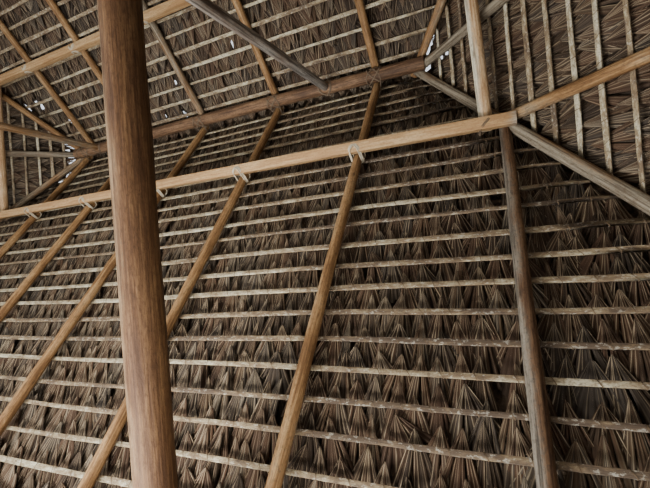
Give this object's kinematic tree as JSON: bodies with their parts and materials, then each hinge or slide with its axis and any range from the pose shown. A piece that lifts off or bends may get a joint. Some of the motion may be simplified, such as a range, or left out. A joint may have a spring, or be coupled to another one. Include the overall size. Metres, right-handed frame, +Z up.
{
  "type": "thatched hut",
  "caption": "Open-sided hut with a hipped palm-leaf thatched roof carried on lashed round poles, for shade and shelter from rain.",
  "frame": {"origin": "on the ground, under the middle of the roof's outline", "axes": "+X along the ridge to the right end, +Y to the rear slope, +Z up"},
  "size_m": [12.2154, 8.7672, 5.8637],
  "materials": {
    "thatch": "dry folded palm leaves, matt",
    "smooth_pole": "smooth tan bark, satin",
    "weathered_pole": "grey weathered bark, matt",
    "beam_pole": "brown bark with long streaks, satin",
    "pale_timber": "pale peeled timber, matt"
  },
  "bodies": {
    "root": {"ridge_pole": "smooth_pole", "king_post_right": "weathered_pole", "king_post_left": "weathered_pole", "tie_beam_right": "beam_pole", "tie_beam_left": "beam_pole", "end_plate_right": "beam_pole", "end_plate_left": "beam_pole", "long_plate_rear": "beam_pole", "long_plate_front": "beam_pole", "corner_post_rear_right": "weathered_pole", "corner_post_rear_left": "weathered_pole", "corner_post_front_right": "weathered_pole", "corner_post_front_left": "weathered_pole", "side_post_rear_right": "weathered_pole", "side_post_rear_left": "weathered_pole", "side_post_front_right": "weathered_pole", "side_post_front_left": "weathered_pole", "end_post_right": "weathered_pole", "end_post_left": "weathered_pole", "purlin_rear": "pale_timber", "purlin_front": "pale_timber", "collar_tie_right": "pale_timber", "collar_tie_left": "pale_timber", "hip_rafter_rear_right": "smooth_pole", "hip_rafter_front_right": "smooth_pole", "hip_rafter_rear_left": "smooth_pole", "hip_rafter_front_left": "smooth_pole", "rear_rafter_1": "smooth_pole", "rear_rafter_2": "smooth_pole", "rear_rafter_3": "smooth_pole", "rear_rafter_4": "smooth_pole", "rear_rafter_5": "smooth_pole", "front_rafter_1": "smooth_pole", "front_rafter_2": "smooth_pole", "front_rafter_3": "smooth_pole", "front_rafter_4": "smooth_pole", "front_rafter_5": "smooth_pole", "rear_jack_right_1": "smooth_pole", "rear_jack_right_2": "smooth_pole", "front_jack_right_1": "smooth_pole", "front_jack_right_2": "smooth_pole", "rear_jack_left_1": "smooth_pole", "rear_jack_left_2": "smooth_pole", "front_jack_left_1": "smooth_pole", "front_jack_left_2": "smooth_pole", "end_rafter_right": "smooth_pole", "end_rafter_left": "smooth_pole", "end_jack_right_rear_1": "smooth_pole", "end_jack_right_rear_2": "smooth_pole", "end_jack_right_front_1": "smooth_pole", "end_jack_right_front_2": "smooth_pole", "end_jack_left_rear_1": "smooth_pole", "end_jack_left_rear_2": "smooth_pole", "end_jack_left_front_1": "smooth_pole", "end_jack_left_front_2": "smooth_pole", "thatch_rear": "thatch", "thatch_front": "thatch", "thatch_right_end": "thatch", "thatch_left_end": "thatch", "ridge_cap": "thatch"}
  },
  "joints": []
}
